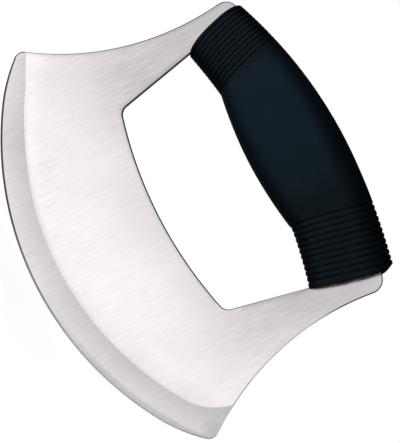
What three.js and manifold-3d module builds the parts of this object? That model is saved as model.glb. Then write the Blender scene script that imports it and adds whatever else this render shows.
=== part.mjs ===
// Rocking herb and salad chopper: one stamped steel plate with a ground cutting arc, two arms and a bar
// that closes the finger window, held by an arched soft grip with ribbed ends.
// Millimetres. +Z up, blade down, X along the blade, Y through the plate. The origin is the lowest point
// of the cutting edge, in the middle plane of the plate.
import * as THREE from 'three';
import { mergeVertices } from 'three/addons/utils/BufferGeometryUtils.js';
import Module from 'manifold-3d';

const wasm = await Module();
wasm.setup();

const DEGREE = Math.PI / 180;

// Gaps: around a piece that fits in its neighbour, and where two flat faces are clamped together.
const FIT = 0.3;
const SEAT_GAP = 0.1;

// Blade plate. The bevel line is an arc of its own, set a little to one side of the cutting arc.
const PLATE_T = 2;
const EDGE_RADIUS = 135.5;
const EDGE_LAND = 0.3;
const BEVEL_WIDTH = 11.5;
const BEVEL_RADIUS = 130.3;
const BEVEL_SHIFT = -2.4;
const WAIST_HALF = 65.7;
const WAIST_HEIGHT = 104.1;
const SIDE_RADIUS = 110.3;
const TIP_SWEEP = 20;
const TIP_ROUND = 4.8;
const ARM_ROUND = 5;

// Finger window in the plate, between the blade and the grip.
const WINDOW_FLOOR = 57;
const WINDOW_FLOOR_RADIUS = 175.4;
const WINDOW_HALF = 44.5;
const WINDOW_SPLAY = 12.2 * DEGREE;
const WINDOW_ROUND = 2.4;

// The grip follows an arc. Distances along it are measured on the arc from the middle, and heights from
// the arc. The belly is the smooth middle, and the toe is the slimmer end, at -X.
const ARCH_RADIUS = 220;
const ARCH_HEIGHT = 118.5;
const ARM_COVER = 0.4;
const GRIP_TOP = 18.7;
const GRIP_BOTTOM = 14.9;
const GRIP_HALF_DEPTH = 11.2;
const BELLY_HALF_LENGTH = 33.2;
const BELLY_SHIFT = -1.4;
const BELLY_DROP = 4.9;
const BELLY_SWELL = 2.5;
const TOE_START = 15;
const TOE_FALL = 3.3;
const TOE_LIFT = 1.2;
const TOE_LEAN = -1 * DEGREE;
const HEEL_START = 15;
const HEEL_RISE = 0.5;
const HEEL_LONGER = 0.7;
const HEEL_LEAN = -1.2 * DEGREE;
const END_BOW = 0.9;
const HEEL_TRIM = 1.7;
const HEEL_TRIM_HEIGHT = 5;
const SECTION_POWER = 2.5;
const RIM_ROUND = 0.6;

// Grooves between the ribs at the two ends of the grip. Their planes lean outward from the upright by the
// rib angle, which at the heel drops toward the belly.
const GROOVE_WIDTH = 0.9;
const TOE_GROOVES = 11;
const TOE_GROOVE_DEPTH = 0.45;
const TOE_PITCH = 1.86;
const TOE_RIM_LAND = 0.6;
const TOE_RIB_ANGLE = 17.1 * DEGREE;
const HEEL_GROOVES = 11;
const HEEL_GROOVE_DEPTH = 0.7;
const HEEL_PITCH = 2.35;
const HEEL_RIM_LAND = 1.55;
const HEEL_RIB_ANGLE = 14.5 * DEGREE;
const HEEL_RIB_DROP = 2.5 * DEGREE;

// Bar of the plate inside the grip, and the top of the arms.
const BAR_HALF_HEIGHT = 8;
const BAR_ROUND = 2;
const ARM_RISE = 14.1;

// Soft sleeve over the hard core.
const SLEEVE_WALL = 3.2;
const SLEEVE_END_WALL = 3.4;

// Self-tapping screws that clamp the core halves on the bar, with a cross recess in the head.
const SCREW_OFFSET = 36.5;
const SCREW_R = 1.5;
const SCREW_HEAD_R = 2.9;
const SCREW_CROWN_R = 2.3;
const SCREW_HEAD_T = 2;
const SCREW_SINK = 1;
const SCREW_COVER = 1.6;
const SCREW_POINT = 1.6;
const SCREW_TIP_R = 0.5;
const DRIVE_SPAN = 3.2;
const DRIVE_BLADE = 0.9;
const DRIVE_DEPTH = 1.1;
const BAR_HOLE_CLEARANCE = 0.7;

// Hollows moulded into the core behind the bar, between the screw bosses.
const BOSS_R = 5.5;
const BAR_LIP = 2;
const POCKET_WALL = 3.3;

// Fineness of the curved surfaces.
const ARC_TURN = 2.5 * DEGREE;
const BEND_STEPS = 6;
const ENVELOPE_STEPS = 180;
const SECTION_STEPS = 32;
const BELLY_STEPS = 14;
const CORE_STEPS = 16;
const HOLE_STEPS = 24;

const ARCH_Z = ARCH_HEIGHT - ARCH_RADIUS;
const CORE_INSET = SLEEVE_WALL + FIT;
const CORE_HALF_DEPTH = GRIP_HALF_DEPTH - CORE_INSET;
const SCREW_SEAT = CORE_HALF_DEPTH - SCREW_SINK - SCREW_HEAD_T;
const SCREW_REACH = CORE_HALF_DEPTH - SCREW_COVER - FIT;

// Closed solid from a geometry, on its corner positions only.
function solid(geometry) {
  const bare = new THREE.BufferGeometry();
  bare.setAttribute('position', geometry.getAttribute('position'));
  bare.setIndex(geometry.getIndex());
  const merged = mergeVertices(bare);
  const mesh = new wasm.Mesh({
    numProp: 3,
    vertProperties: Float32Array.from(merged.getAttribute('position').array),
    triVerts: Uint32Array.from(merged.getIndex().array),
  });
  return new wasm.Manifold(mesh);
}

// Skin over a row of rings with equal counts, closed by a flat fan at each end.
function loft(rings) {
  const count = rings[0].length;
  const last = rings.length - 1;
  const points = rings.flat();
  const middle = (row) => row.reduce((sum, p) => sum.add(p), new THREE.Vector3()).divideScalar(count);
  const first = points.push(middle(rings[0])) - 1;
  const final = points.push(middle(rings[last])) - 1;
  const faces = [];
  for (let j = 0; j < count; j += 1) {
    const k = (j + 1) % count;
    for (let i = 0; i < last; i += 1) {
      const a = i * count;
      const b = a + count;
      faces.push(a + j, a + k, b + k, a + j, b + k, b + j);
    }
    faces.push(first, k, j, final, last * count + j, last * count + k);
  }
  const geometry = new THREE.BufferGeometry().setFromPoints(points);
  geometry.setIndex(faces);
  return solid(geometry);
}

// Circle in a plane of constant y.
function ring(x, y, z, radius, steps) {
  return Array.from({ length: steps }, (_, i) => {
    const a = (i / steps) * 2 * Math.PI;
    return new THREE.Vector3(x + radius * Math.cos(a), y, z + radius * Math.sin(a));
  });
}

// Round bar along Y about a point in the plane of the plate.
function pin(at, radius, from, to) {
  return loft([ring(at.x, to, at.y, radius, HOLE_STEPS), ring(at.x, from, at.y, radius, HOLE_STEPS)]);
}

// Flat outline in X and Z, with thickness from one y to another.
function prism(shape, from, to) {
  const geometry = new THREE.ExtrudeGeometry(shape, { depth: to - from, bevelEnabled: false });
  geometry.rotateX(Math.PI / 2);
  geometry.translate(0, to, 0);
  return solid(geometry);
}

// Point at a distance along the grip's arc and a height above it.
function onArch(along, height) {
  const a = along / ARCH_RADIUS;
  const r = ARCH_RADIUS + height;
  return new THREE.Vector2(r * Math.sin(a), ARCH_Z + r * Math.cos(a));
}

// Points along a circle from one point to another by the short way, less a length at each end.
function arc(circle, from, to, cutFrom, cutTo) {
  const a = Math.atan2(from.y - circle.y, from.x - circle.x);
  const b = Math.atan2(to.y - circle.y, to.x - circle.x);
  const turn = THREE.MathUtils.euclideanModulo(b - a + Math.PI, 2 * Math.PI) - Math.PI;
  const start = a + (Math.sign(turn) * cutFrom) / circle.r;
  const sweep = turn - (Math.sign(turn) * (cutFrom + cutTo)) / circle.r;
  const steps = Math.ceil(Math.abs(sweep) / ARC_TURN);
  return Array.from({ length: steps + 1 }, (_, i) => {
    const t = start + (sweep * i) / steps;
    return new THREE.Vector2(circle.x + circle.r * Math.cos(t), circle.y + circle.r * Math.sin(t));
  });
}

// Runs of points joined in order, with a curve across each corner that is given.
function joined(runs, corners) {
  return runs.reduce((points, run, i) => {
    const corner = corners[i - 1];
    if (!corner) return points.concat(run);
    const bend = new THREE.QuadraticBezierCurve(points.at(-1), corner, run[0]);
    return points.concat(bend.getPoints(BEND_STEPS).slice(1, -1), run);
  }, []);
}

// Whole outline from its right half, which runs from the middle line up to the middle line.
function bothSides(half) {
  const left = half.slice(1, -1).reverse();
  return half.concat(left.map((p) => new THREE.Vector2(-p.x, p.y)));
}

// Crossing of two circles, to the right of the way from the first centre to the second when side is 1.
function crossing(p, q, side) {
  const dx = q.x - p.x;
  const dy = q.y - p.y;
  const d = Math.hypot(dx, dy);
  const along = (p.r * p.r - q.r * q.r + d * d) / (2 * d);
  const across = side * Math.sqrt(p.r * p.r - along * along);
  return new THREE.Vector2(p.x + (along * dx + across * dy) / d, p.y + (along * dy - across * dx) / d);
}

// Crossing of the window's right side, moved in by grow, with a circle on the middle line: the upper
// crossing when side is 1.
function sideCrossing(grow, circle, side) {
  const run = Math.tan(WINDOW_SPLAY);
  const start = WINDOW_HALF - grow / Math.cos(WINDOW_SPLAY) + run * (circle.y - WINDOW_FLOOR);
  const a = 1 + run * run;
  const b = run * start;
  const rise = (-b + side * Math.sqrt(b * b - a * (start * start - circle.r * circle.r))) / a;
  return new THREE.Vector2(start + run * rise, circle.y + rise);
}

// Point at a length from a corner toward a goal.
function toward(corner, goal, length) {
  return goal.clone().sub(corner).setLength(length).add(corner);
}

// Plate outline with the finger window as its hole, grown by an amount on every side.
function plateShape(grow) {
  const edge = { x: 0, y: EDGE_RADIUS, r: EDGE_RADIUS + grow };
  const side = { x: WAIST_HALF + SIDE_RADIUS, y: WAIST_HEIGHT, r: SIDE_RADIUS - grow };
  const top = { x: 0, y: ARCH_Z, r: ARCH_RADIUS + ARM_RISE + grow };
  const barTop = { x: 0, y: ARCH_Z, r: ARCH_RADIUS + BAR_HALF_HEIGHT + grow };
  const barUnder = { x: 0, y: ARCH_Z, r: ARCH_RADIUS - BAR_HALF_HEIGHT - grow };
  const floor = { x: 0, y: WINDOW_FLOOR + WINDOW_FLOOR_RADIUS, r: WINDOW_FLOOR_RADIUS - grow };

  const tip = crossing(edge, side, 1);
  const arm = crossing(top, side, -1);
  const shoulder = sideCrossing(grow, top, 1);
  const notch = sideCrossing(grow, barTop, 1);
  const lintel = sideCrossing(grow, barUnder, 1);
  const foot = sideCrossing(grow, floor, -1);
  const onMiddle = (y) => new THREE.Vector2(0, y);

  const outline = joined([
    arc(edge, onMiddle(edge.y - edge.r), tip, 0, TIP_SWEEP),
    arc(side, tip, arm, TIP_ROUND, ARM_ROUND),
    arc(top, arm, shoulder, ARM_ROUND, 0),
    [toward(notch, shoulder, BAR_ROUND)],
    arc(barTop, notch, onMiddle(barTop.y + barTop.r), BAR_ROUND, 0),
  ], [tip, arm, undefined, notch]);
  const window = joined([
    arc(floor, onMiddle(floor.y - floor.r), foot, 0, WINDOW_ROUND),
    [toward(foot, lintel, WINDOW_ROUND), toward(lintel, foot, BAR_ROUND)],
    arc(barUnder, lintel, onMiddle(barUnder.y + barUnder.r), BAR_ROUND, 0),
  ], [foot, lintel]);
  const shape = new THREE.Shape(bothSides(outline));
  shape.holes.push(new THREE.Path(bothSides(window)));
  return shape;
}

// Distance along the arc from the middle to the rim of the grip, which covers the arms' inner sides.
const WINDOW_AT_ARCH = sideCrossing(0, { x: 0, y: ARCH_Z, r: ARCH_RADIUS }, 1);
const GRIP_HALF_LENGTH = ARCH_RADIUS * Math.asin(WINDOW_AT_ARCH.x / ARCH_RADIUS) + ARM_COVER;

// Top, bottom and half depth of the grip at a distance along the arc, set in by an amount all round.
function gripSection(along, inset) {
  const belly = Math.max(0, 1 - ((along - BELLY_SHIFT) / BELLY_HALF_LENGTH) ** 2);
  const toe = Math.max(0, (TOE_START - along) / (TOE_START + GRIP_HALF_LENGTH)) ** 2;
  const heel = Math.max(0, (along - HEEL_START) / (GRIP_HALF_LENGTH - HEEL_START)) ** 2;
  return {
    top: GRIP_TOP - TOE_FALL * toe + HEEL_RISE * heel - inset,
    bottom: -GRIP_BOTTOM - BELLY_DROP * belly + TOE_LIFT * toe + inset,
    half: GRIP_HALF_DEPTH + BELLY_SWELL * belly - inset,
  };
}

// Ring round the grip at a distance along the arc, set in by an amount, in a plane that leans toward +X.
function gripRing(along, inset, lean) {
  const bow = END_BOW * Math.sign(along) * (along / GRIP_HALF_LENGTH) ** 2;
  const trim = HEEL_TRIM * Math.max(0, along / GRIP_HALF_LENGTH) ** 4;
  const bulge = (v) => Math.sign(v) * Math.abs(v) ** (2 / SECTION_POWER);
  const heightIn = ({ top, bottom }, a) => (top + bottom) / 2 + ((top - bottom) / 2) * bulge(Math.sin(a));
  const upright = gripSection(along, inset);
  return Array.from({ length: SECTION_STEPS }, (_, i) => {
    const a = (i / SECTION_STEPS) * 2 * Math.PI;
    const shift = Math.tan(lean) * heightIn(upright, a);
    const section = gripSection(along + shift, inset);
    const height = heightIn(section, a);
    const depth = bulge(Math.cos(a));
    const corner = Math.max(0, 1 - (section.top - height) / HEEL_TRIM_HEIGHT);
    const at = onArch(along + shift + bow * depth ** 2 - trim * corner ** 2, height);
    return new THREE.Vector3(at.x, section.half * depth, at.y);
  });
}

// Rows of the ribbed end on one side (-1 the toe, 1 the heel), from the rim inward, as [distance along the
// arc, depth below the ribs, lean].
function ribRows(side, { longer, lean, grooves, pitch, depth, land, angle, drop }) {
  const end = GRIP_HALF_LENGTH + longer;
  const easing = 1 - Math.SQRT1_2;
  const rim = [[0, RIM_ROUND], [RIM_ROUND * easing, RIM_ROUND * easing], [RIM_ROUND, 0]];
  const rows = rim.map(([d, deep]) => [side * (end - d), deep, lean]);
  for (let i = 0; i < grooves; i += 1) {
    const start = RIM_ROUND + land + i * pitch;
    const tilt = angle - (drop * i) / (grooves - 1);
    for (const [d, deep] of [[0, 0], [GROOVE_WIDTH / 2, depth], [GROOVE_WIDTH, 0]]) {
      const along = side * (end - start - d);
      rows.push([along, deep, side * tilt - along / ARCH_RADIUS]);
    }
  }
  return rows;
}

// Smooth body between two distances along the arc, set in by an amount all round.
function gripBody(from, to, inset) {
  const rows = Array.from({ length: CORE_STEPS + 1 }, (_, i) => from + ((to - from) * i) / CORE_STEPS);
  return loft(rows.map((along) => gripRing(along, inset, 0)));
}

const plateSlot = prism(plateShape(FIT), -PLATE_T / 2 - FIT, PLATE_T / 2 + FIT);
const screwPlaces = [-SCREW_OFFSET, 0, SCREW_OFFSET].map((along) => onArch(along, 0));

// Plate cut to its outline, ground to a thin edge on both faces, with a hole for each screw in the bar.
function bladeSolid() {
  const half = PLATE_T / 2;
  const brink = EDGE_LAND / 4;
  const past = (half - brink) / (half - EDGE_LAND / 2);
  const bevelZ = BEVEL_WIDTH + BEVEL_RADIUS;
  const bevel = (y) => ring(BEVEL_SHIFT, y, bevelZ, BEVEL_RADIUS, ENVELOPE_STEPS);
  const rimX = THREE.MathUtils.lerp(BEVEL_SHIFT, 0, past);
  const rimZ = THREE.MathUtils.lerp(bevelZ, EDGE_RADIUS, past);
  const rimR = THREE.MathUtils.lerp(BEVEL_RADIUS, EDGE_RADIUS, past);
  const rim = (y) => ring(rimX, y, rimZ, rimR, ENVELOPE_STEPS);
  const ground = loft([bevel(half), rim(brink), rim(-brink), bevel(-half)]);
  const cut = prism(plateShape(0), -PLATE_T, PLATE_T).intersect(ground);
  const hole = (at) => pin(at, SCREW_R + BAR_HOLE_CLEARANCE, -PLATE_T, PLATE_T);
  return screwPlaces.reduce((body, at) => body.subtract(hole(at)), cut);
}

// Soft sleeve: ribbed ends, smooth belly, a hollow for the core and a slot for the plate at each end.
function sleeveSolid() {
  const toe = ribRows(-1, {
    longer: 0,
    lean: TOE_LEAN,
    grooves: TOE_GROOVES,
    pitch: TOE_PITCH,
    depth: TOE_GROOVE_DEPTH,
    land: TOE_RIM_LAND,
    angle: TOE_RIB_ANGLE,
    drop: 0,
  });
  const heel = ribRows(1, {
    longer: HEEL_LONGER,
    lean: HEEL_LEAN,
    grooves: HEEL_GROOVES,
    pitch: HEEL_PITCH,
    depth: HEEL_GROOVE_DEPTH,
    land: HEEL_RIM_LAND,
    angle: HEEL_RIB_ANGLE,
    drop: HEEL_RIB_DROP,
  });
  const [from, , leanFrom] = toe.at(-1);
  const [to, , leanTo] = heel.at(-1);
  const belly = Array.from({ length: BELLY_STEPS - 1 }, (_, i) => {
    const t = (i + 1) / BELLY_STEPS;
    return [THREE.MathUtils.lerp(from, to, t), 0, THREE.MathUtils.lerp(leanFrom, leanTo, t)];
  });
  const skin = loft([...toe, ...belly, ...heel.reverse()].map((row) => gripRing(...row)));
  const hollow = GRIP_HALF_LENGTH - SLEEVE_END_WALL;
  return skin.subtract(gripBody(-hollow, hollow, SLEEVE_WALL)).subtract(plateSlot);
}

// Hollow behind the bar between two distances along the arc, through to a depth on both sides.
function pocket(from, to) {
  const tall = BAR_HALF_HEIGHT - BAR_LIP;
  const deep = CORE_HALF_DEPTH - POCKET_WALL;
  const row = (height, a, b) => {
    const circle = { x: 0, y: ARCH_Z, r: ARCH_RADIUS + height };
    return arc(circle, onArch(a, height), onArch(b, height), 0, 0);
  };
  return prism(new THREE.Shape([...row(-tall, from, to), ...row(tall, to, from)]), -deep, deep);
}

// Half of the hard core: side -1 is the front, with the screw heads, and side 1 the rear.
function coreSolid(side) {
  const end = GRIP_HALF_LENGTH - SLEEVE_END_WALL - FIT;
  const reach = 2 * GRIP_HALF_LENGTH;
  const room = new THREE.BoxGeometry(2 * reach, reach, 2 * reach);
  room.translate(0, side * (reach / 2 + SEAT_GAP), ARCH_HEIGHT);
  let body = gripBody(-end, end, CORE_INSET).intersect(solid(room)).subtract(plateSlot);
  body = body.subtract(pocket(BOSS_R, SCREW_OFFSET - BOSS_R));
  body = body.subtract(pocket(BOSS_R - SCREW_OFFSET, -BOSS_R));
  for (const at of screwPlaces) {
    body = body.subtract(pin(at, SCREW_R + FIT, -reach, SCREW_REACH + FIT));
    body = body.subtract(pin(at, SCREW_HEAD_R + FIT, -reach, -SCREW_SEAT));
  }
  return body;
}

// Pan-head screw along Y with its head at the front.
function screwSolid(at) {
  const row = (y, r) => ring(at.x, y, at.y, r, HOLE_STEPS);
  const under = -SCREW_SEAT - SEAT_GAP;
  const crown = under - SCREW_HEAD_T;
  const body = loft([
    row(SCREW_REACH, SCREW_TIP_R),
    row(SCREW_REACH - SCREW_POINT, SCREW_R),
    row(under, SCREW_R),
    row(under, SCREW_HEAD_R),
    row((under + crown) / 2, SCREW_HEAD_R),
    row(crown, SCREW_CROWN_R),
  ]);
  const slot = (width, height) => {
    const box = new THREE.BoxGeometry(width, 2 * DRIVE_DEPTH, height);
    return solid(box.translate(at.x, crown, at.y));
  };
  return body.subtract(slot(DRIVE_SPAN, DRIVE_BLADE)).subtract(slot(DRIVE_BLADE, DRIVE_SPAN));
}

const mezzaluna = new THREE.Group();

function addPart(name, body, look) {
  const mesh = body.getMesh();
  const geometry = new THREE.BufferGeometry();
  geometry.setAttribute('position', new THREE.BufferAttribute(Float32Array.from(mesh.vertProperties), 3));
  geometry.setIndex(Array.from(mesh.triVerts));
  geometry.computeVertexNormals();
  const part = new THREE.Mesh(geometry, new THREE.MeshStandardMaterial(look));
  part.name = name;
  mezzaluna.add(part);
}

addPart('blade', bladeSolid(), { color: 0xe9e4e4, roughness: 0.36, metalness: 1 });
addPart('grip_sleeve', sleeveSolid(), { color: 0x141d21, roughness: 0.72, metalness: 0 });
addPart('core_front', coreSolid(-1), { color: 0x2a2d2f, roughness: 0.55, metalness: 0 });
addPart('core_rear', coreSolid(1), { color: 0x2a2d2f, roughness: 0.55, metalness: 0 });
const screwLook = { color: 0xb8bbbd, roughness: 0.4, metalness: 1 };
['toe', 'middle', 'heel'].forEach((place, i) => {
  addPart(`core_screw_${place}`, screwSolid(screwPlaces[i]), screwLook);
});

export default mezzaluna;
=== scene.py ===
from math import asin, atan2, ceil, cos, degrees, hypot, pi, radians, sin, sqrt, tan

import bmesh
import bpy
from mathutils import Matrix, Vector


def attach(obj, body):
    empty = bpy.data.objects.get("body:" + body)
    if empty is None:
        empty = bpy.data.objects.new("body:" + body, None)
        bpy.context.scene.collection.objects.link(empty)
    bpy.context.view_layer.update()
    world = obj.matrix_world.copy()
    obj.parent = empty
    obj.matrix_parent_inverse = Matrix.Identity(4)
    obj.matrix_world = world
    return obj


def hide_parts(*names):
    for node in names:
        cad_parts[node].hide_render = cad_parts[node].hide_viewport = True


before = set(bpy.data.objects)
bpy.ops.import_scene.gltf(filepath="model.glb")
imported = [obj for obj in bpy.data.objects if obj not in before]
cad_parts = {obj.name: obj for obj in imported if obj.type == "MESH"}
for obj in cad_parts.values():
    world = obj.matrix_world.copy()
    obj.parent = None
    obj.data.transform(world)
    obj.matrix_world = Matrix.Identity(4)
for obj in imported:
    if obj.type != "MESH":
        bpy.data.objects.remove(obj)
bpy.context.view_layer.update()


# Viewpoint. A short telephoto lens close to the front face, a little to the heel side, with the
# camera turned on its axis so that the chopper leans with its grip to the right.
VIEW_YAW = radians(9.137)
VIEW_RISE = radians(1.206)
VIEW_TURN = radians(62.409)
VIEW_AIM = Vector((0.00956, 0.0, 0.0706))
VIEW_DISTANCE = 0.48
SENSOR_MM = 36.0
FOCAL_PIXELS = 1201.5
FRAME_PIXELS = 443

back = Vector((sin(VIEW_YAW) * cos(VIEW_RISE), -cos(VIEW_YAW) * cos(VIEW_RISE), sin(VIEW_RISE)))
level = Vector((0, 0, 1)).cross(back).normalized()
upright = back.cross(level)
across = cos(VIEW_TURN) * level + sin(VIEW_TURN) * upright
upward = cos(VIEW_TURN) * upright - sin(VIEW_TURN) * level
camera = bpy.data.objects.new("camera", bpy.data.cameras.new("camera"))
camera.data.sensor_fit = "VERTICAL"
camera.data.sensor_height = SENSOR_MM
camera.data.lens = SENSOR_MM * FOCAL_PIXELS / FRAME_PIXELS
camera.data.clip_start = 0.01
facing = Matrix((across, upward, back)).transposed().to_4x4()
camera.matrix_world = Matrix.Translation(VIEW_AIM + VIEW_DISTANCE * back) @ facing
bpy.context.scene.collection.objects.link(camera)
bpy.context.scene.camera = camera


# Blade. One stamped plate of stainless steel: cutting arc, two arms and, inside the grip, the bar that
# joins them. The outline is drawn as arcs, thickened, and ground to a lens on both faces for the bevel.
# The brushing runs straight up the plate.
PLATE = 0.002
EDGE_R = 0.1355
SWEEP_ALONG = 0.075
SWEEP_START = SWEEP_ALONG / EDGE_R
SWEEP_R = 0.068
WAIST_HALF = 0.0657
WAIST_HEIGHT = 0.1041
SIDE_R = 0.1103
SIDE_CENTRE = (WAIST_HALF + SIDE_R, WAIST_HEIGHT)
TIP_ROUND = 0.0034
ARM_ROUND = 0.0048
ARCH_R = 0.22
ARCH_HEIGHT = 0.1185
ARCH_CENTRE = (0.0, ARCH_HEIGHT - ARCH_R)
ARM_RISE = 0.0141
ARM_TOP_R = ARCH_R + ARM_RISE
BAR_HALF = 0.008
BAR_TOP_R = ARCH_R + BAR_HALF
BAR_UNDER_R = ARCH_R - BAR_HALF
BAR_ROUND = 0.002
WINDOW_FLOOR = 0.057
FLOOR_R = 0.1754
FLOOR_CENTRE = (0.0, WINDOW_FLOOR + FLOOR_R)
WINDOW_HALF = 0.0445
WINDOW_SPLAY = tan(radians(12.2))
WINDOW_ROUND = 0.0024
HOLE_R = 0.0022
HOLE_PLACES = (-0.0365, 0.0, 0.0365)
BEVEL_WIDTH = 0.0115
BEVEL_R = 0.1303
BEVEL_SHIFT = -0.0024
HONE_WIDTH = 0.0009
HONE_HALF = 0.00026
LAND_HALF = 0.00009
HONE_PAST = 0.5
THINNEST_HALF = 0.00001
EDGE_SOFTENING = 0.00045
ARC_STEP = 0.0018
CORNER_LEAD = 0.0004
BRUSHED, GROUND, HONED, ROUNDED_RIM, SHEARED = range(5)


def circles_cross(c, r, d, s, turn):
    """Crossing of two circles, on the left of the way from c to d when turn is 1."""
    dx, dz = d[0] - c[0], d[1] - c[1]
    gap = hypot(dx, dz)
    along = (r * r - s * s + gap * gap) / (2 * gap)
    off = turn * sqrt(r * r - along * along)
    return (c[0] + (along * dx - off * dz) / gap, c[1] + (along * dz + off * dx) / gap)


def side_crosses(c, r, turn):
    """Crossing of the window's right side with a circle on the middle line, the upper one when turn is 1."""
    at = WINDOW_HALF + WINDOW_SPLAY * (c[1] - WINDOW_FLOOR)
    a = 1 + WINDOW_SPLAY ** 2
    rise = (-WINDOW_SPLAY * at + turn * sqrt((WINDOW_SPLAY * at) ** 2 - a * (at * at - r * r))) / a
    return (at + WINDOW_SPLAY * rise, c[1] + rise)


def draw_to(bm, vert, goal):
    """Straight edge from the pen's vertex to a point of the plate's plane."""
    new = bmesh.ops.extrude_vert_indiv(bm, verts=[vert])["verts"][0]
    new.co = (goal[0], vert.co.y, goal[1])
    return new


def swing_to(bm, vert, centre, goal, lead=0.0, leave=0.0):
    """Arc about a centre from the pen's vertex to a point, with its first and last stretch left straight."""
    start = atan2(vert.co.z - centre[1], vert.co.x - centre[0])
    turn = (atan2(goal[1] - centre[1], goal[0] - centre[0]) - start + pi) % (2 * pi) - pi
    r = hypot(goal[0] - centre[0], goal[1] - centre[1])
    way = 1 if turn > 0 else -1
    if lead:
        a = start + way * lead / r
        vert = draw_to(bm, vert, (centre[0] + r * cos(a), centre[1] + r * sin(a)))
    sweep = turn - way * (lead + leave) / r
    steps = ceil(abs(sweep) * r / ARC_STEP)
    spun = bmesh.ops.spin(bm, geom=[vert], cent=(centre[0], vert.co.y, centre[1]), axis=(0, -1, 0),
                          angle=sweep, steps=steps)
    vert = next(g for g in spun["geom_last"] if isinstance(g, bmesh.types.BMVert))
    return draw_to(bm, vert, goal) if leave else vert


def on_arch(along, height, y):
    """Point at a distance along the grip's arc and a height above it."""
    a = along / ARCH_R
    r = ARCH_R + height
    return Vector((r * sin(a), y, ARCH_CENTRE[1] + r * cos(a)))


bm = bmesh.new()
sweep_from = (EDGE_R * sin(SWEEP_START), EDGE_R - EDGE_R * cos(SWEEP_START))
sweep_centre = ((EDGE_R - SWEEP_R) * sin(SWEEP_START), EDGE_R - (EDGE_R - SWEEP_R) * cos(SWEEP_START))
tip_at = circles_cross(sweep_centre, SWEEP_R, SIDE_CENTRE, SIDE_R, -1)
arm_at = circles_cross(ARCH_CENTRE, ARM_TOP_R, SIDE_CENTRE, SIDE_R, 1)
first = bm.verts.new((0, -PLATE / 2, 0))
pen = swing_to(bm, first, (0, EDGE_R), sweep_from)
tip = pen = swing_to(bm, pen, sweep_centre, tip_at, leave=TIP_ROUND + CORNER_LEAD)
arm = pen = swing_to(bm, pen, SIDE_CENTRE, arm_at, lead=TIP_ROUND + CORNER_LEAD,
                     leave=ARM_ROUND + CORNER_LEAD)
pen = swing_to(bm, pen, ARCH_CENTRE, side_crosses(ARCH_CENTRE, ARM_TOP_R, 1), lead=ARM_ROUND + CORNER_LEAD)
notch = pen = draw_to(bm, pen, side_crosses(ARCH_CENTRE, BAR_TOP_R, 1))
pen = swing_to(bm, pen, ARCH_CENTRE, (0, ARCH_CENTRE[1] + BAR_TOP_R), lead=BAR_ROUND + CORNER_LEAD)
pen = draw_to(bm, pen, (0, ARCH_CENTRE[1] + BAR_UNDER_R))
lintel = pen = swing_to(bm, pen, ARCH_CENTRE, side_crosses(ARCH_CENTRE, BAR_UNDER_R, 1),
                        leave=BAR_ROUND + CORNER_LEAD)
foot = pen = draw_to(bm, pen, side_crosses(FLOOR_CENTRE, FLOOR_R, -1))
pen = swing_to(bm, pen, FLOOR_CENTRE, (0, WINDOW_FLOOR), lead=WINDOW_ROUND + CORNER_LEAD)
pen = draw_to(bm, pen, (0, 0))
bmesh.ops.remove_doubles(bm, verts=[first, pen], dist=1e-7)
bmesh.ops.edgeloop_fill(bm, edges=bm.edges[:])
for corner, width in ((tip, TIP_ROUND), (arm, ARM_ROUND), (notch, BAR_ROUND), (lintel, BAR_ROUND),
                      (foot, WINDOW_ROUND)):
    bmesh.ops.bevel(bm, geom=[corner], offset=width, offset_type="OFFSET", affect="VERTICES", segments=8,
                    profile=0.5, material=-1)
bmesh.ops.mirror(bm, geom=bm.verts[:] + bm.edges[:] + bm.faces[:], axis="X", merge_dist=1e-7)
thick = bmesh.ops.extrude_face_region(bm, geom=bm.faces[:])
far_side = [g for g in thick["geom"] if isinstance(g, bmesh.types.BMVert)]
bmesh.ops.translate(bm, verts=far_side, vec=(0, PLATE, 0))
bmesh.ops.recalc_face_normals(bm, faces=bm.faces[:])
rims = [e for e in bm.edges if abs(e.verts[0].co.y - e.verts[1].co.y) < PLATE / 2]
bmesh.ops.bevel(bm, geom=rims, offset=EDGE_SOFTENING, offset_type="OFFSET", affect="EDGES", segments=3,
                profile=0.5, material=-1)
bm.normal_update()
for face in bm.faces:
    across_plate = abs(face.normal.y)
    face.material_index = BRUSHED if across_plate > 0.999 else ROUNDED_RIM if across_plate > 0.1 else SHEARED
plate_mesh = bpy.data.meshes.new("blade")
bm.to_mesh(plate_mesh)
bm.free()
blade = bpy.data.objects.new("blade_plate", plate_mesh)
bpy.context.scene.collection.objects.link(blade)

# The drills for the three screw holes in the bar.
bm = bmesh.new()
for along in HOLE_PLACES:
    bmesh.ops.create_cone(bm, cap_ends=True, segments=32, radius1=HOLE_R, radius2=HOLE_R, depth=3 * PLATE,
                          matrix=Matrix.Translation(on_arch(along, 0, 0)) @ Matrix.Rotation(pi / 2, 4, "X"))
for face in bm.faces:
    face.material_index = SHEARED
drill_mesh = bpy.data.meshes.new("drills")
bm.to_mesh(drill_mesh)
bm.free()
drills = bpy.data.objects.new("drills", drill_mesh)
bpy.context.scene.collection.objects.link(drills)

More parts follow.
